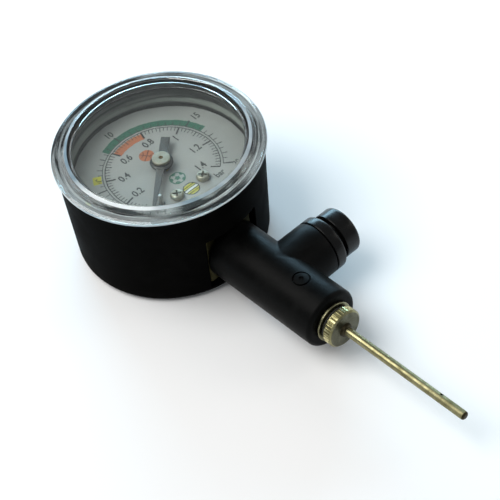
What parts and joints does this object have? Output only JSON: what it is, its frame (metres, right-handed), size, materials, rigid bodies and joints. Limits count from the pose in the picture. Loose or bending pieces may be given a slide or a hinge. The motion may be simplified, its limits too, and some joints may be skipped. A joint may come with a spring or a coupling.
{
  "type": "ball pressure gauge with air release button and needle",
  "caption": "Round dial pressure gauge for inflated balls, with a side barrel, an air release push button and a screw-in ball needle.",
  "frame": {"origin": "centre of the case's back face, on the surface that the gauge lies on", "axes": "+Z out of the dial, -Y along the barrel and needle, +X towards the release button"},
  "size_m": [0.051, 0.1218, 0.0307],
  "materials": {
    "black_case": "moulded, fine satin grain",
    "black_barrel": "moulded, smooth with a soft gloss",
    "black_button": "moulded, smooth with a soft gloss",
    "clear_lens": "clear moulded plastic",
    "dial_face": "printed matt dial",
    "pointer_paint": "dark matt enamel",
    "cap_brass": "turned, pale",
    "brass_turned": "turned and drilled",
    "bronze_tube": "drawn and bent",
    "nickel_plate": "nickel plate over brass, warm tone",
    "steel_small": "turned",
    "black_rubber": "matt"
  },
  "bodies": {
    "root": {"case": "black_case", "lens": "clear_lens", "dial_plate": "dial_face", "stop_pin": "steel_small", "dial_post_left": "brass_turned", "dial_post_right": "brass_turned", "dial_screw_left": "nickel_plate", "dial_screw_right": "nickel_plate", "movement_back_plate": "brass_turned", "movement_front_plate": "brass_turned", "pillar_1": "brass_turned", "pillar_2": "brass_turned", "pillar_3": "brass_turned", "movement_screw_1": "steel_small", "movement_screw_2": "steel_small", "movement_screw_3": "steel_small", "hairspring": "bronze_tube", "hairspring_stud": "brass_turned", "socket_block": "brass_turned", "socket_o_ring": "black_rubber", "frame_screw_left": "steel_small", "frame_screw_right": "steel_small", "case_screw_left": "steel_small", "case_screw_right": "steel_small", "barrel": "black_barrel", "nose_insert": "nickel_plate", "release_collar": "black_barrel", "release_spring": "steel_small"},
    "pointer": {"pointer_arbor": "steel_small", "pinion": "brass_turned", "hairspring_collet": "brass_turned", "pointer": "pointer_paint", "pointer_cap": "cap_brass"},
    "sector": {"sector_gear": "brass_turned", "sector_shaft": "steel_small", "tail_pin": "steel_small"},
    "link": {"link": "brass_turned"},
    "tube": {"bourdon_tube": "bronze_tube", "tube_tip": "brass_turned", "tip_pin": "steel_small"},
    "button": {"release_button": "black_button", "release_seal": "black_rubber"},
    "washer": {"needle_washer": "black_rubber"},
    "needle": {"needle": "nickel_plate"}
  },
  "joints": [
    {"name": "pointer_turn", "type": "hinge", "parent": "root", "child": "pointer", "pos_m": [0, 0, 0], "axis": [0, 0, -1], "range_deg": [0, 270], "stiffness_Nm_per_rad": 0.00003, "springref_deg": -17.19},
    {"name": "sector_turn", "type": "hinge", "parent": "root", "child": "sector", "pos_m": [0.00281, 0.01048, 0], "axis": [0, 0, 1], "range_deg": [0, 33.76]},
    {"name": "link_turn", "type": "hinge", "parent": "sector", "child": "link", "pos_m": [0.00562, 0.01136, 0], "axis": [0, 0, 1], "range_deg": [-33.76, 0]},
    {"name": "tube_flex", "type": "hinge", "parent": "root", "child": "tube", "pos_m": [-0.007, -0.0155, 0], "axis": [0, 0, 1], "range_deg": [0, 4.01]},
    {"name": "release_press", "type": "slide", "parent": "root", "child": "button", "axis": [-1, 0, 0], "range_m": [0, 0.001], "stiffness_N_per_m": 1500, "springref_m": -0.001},
    {"name": "needle_travel", "type": "slide", "parent": "root", "child": "washer", "axis": [0, -1, 0], "range_m": [0, 0.007]},
    {"name": "needle_unscrew", "type": "hinge", "parent": "washer", "child": "needle", "pos_m": [0, 0, 0.0097], "axis": [0, -1, 0], "range_deg": [0, 2521]}
  ],
  "couplings": [
    {"joint": "sector_turn", "follows": "pointer_turn", "ratio": 0.125},
    {"joint": "link_turn", "follows": "pointer_turn", "ratio": -0.125},
    {"joint": "tube_flex", "follows": "pointer_turn", "ratio": 0.014815},
    {"joint": "needle_unscrew", "follows": "needle_travel", "rad_per_m": 6283.2}
  ]
}
